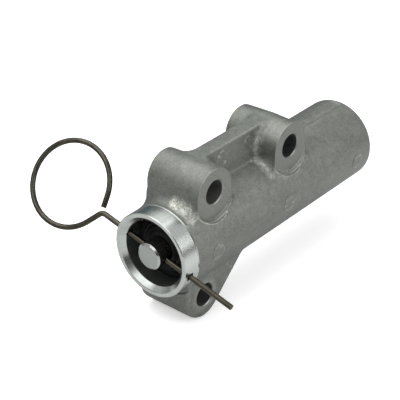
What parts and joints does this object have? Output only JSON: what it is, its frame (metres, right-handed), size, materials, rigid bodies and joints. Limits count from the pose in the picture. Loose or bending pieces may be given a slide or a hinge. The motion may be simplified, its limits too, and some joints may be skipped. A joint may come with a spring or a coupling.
{
  "type": "hydraulic timing belt tensioner",
  "caption": "Hydraulic timing belt tensioner: cast aluminium cylinder with bolt bosses and ear, steel plunger in a rubber boot, and a wire locking pin with a finger ring.",
  "frame": {"origin": "centre of the plunger rod's end face, locked in by the pin", "axes": "+Y along the bore from the plunger's face to the closed rear end, +X along the bolts from the engine face to the bolt heads, +Z from the lower ear to the two top bosses"},
  "size_m": [0.0906, 0.1174, 0.0578],
  "materials": {
    "cast_aluminium": "die cast, turned collar and bolt pads",
    "spring_wire": "dark drawn spring wire",
    "ground_rod": "ground and hardened",
    "pressed_steel": "pressed or stamped",
    "hardened_steel": "hardened and ground",
    "sintered_bronze": "sintered",
    "wear_plastic": "moulded",
    "black_rubber": "moulded black rubber"
  },
  "bodies": {
    "body": {"housing": "cast_aluminium", "dust_boot": "black_rubber", "boot_insert_ring": "pressed_steel", "seal_snap_ring": "pressed_steel", "rod_seal": "black_rubber", "garter_spring": "pressed_steel", "seal_washer": "pressed_steel", "rod_guide": "sintered_bronze", "guide_o_ring": "black_rubber", "pressure_sleeve": "hardened_steel", "main_spring": "spring_wire"},
    "pin": {"locking_pin": "spring_wire"},
    "plunger": {"plunger_rod": "ground_rod", "wear_ring": "wear_plastic", "wear_ring_clip": "pressed_steel", "piston": "hardened_steel", "valve_seat": "hardened_steel", "valve_cage": "pressed_steel", "ball_spring": "spring_wire"},
    "ball": {"check_ball": "hardened_steel"}
  },
  "joints": [
    {"name": "pin_pull", "type": "slide", "parent": "body", "child": "pin", "axis": [-0.9703, 0, 0.2419], "range_m": [-0.006, 0.051]},
    {"name": "plunger_slide", "type": "slide", "parent": "body", "child": "plunger", "axis": [0, -1, 0], "range_m": [0, 0.01], "deforming": ["dust_boot", "main_spring"]},
    {"name": "check_ball_lift", "type": "slide", "parent": "plunger", "child": "ball", "axis": [0, 1, 0], "range_m": [0, 0.0008], "deforming": ["ball_spring"]}
  ]
}
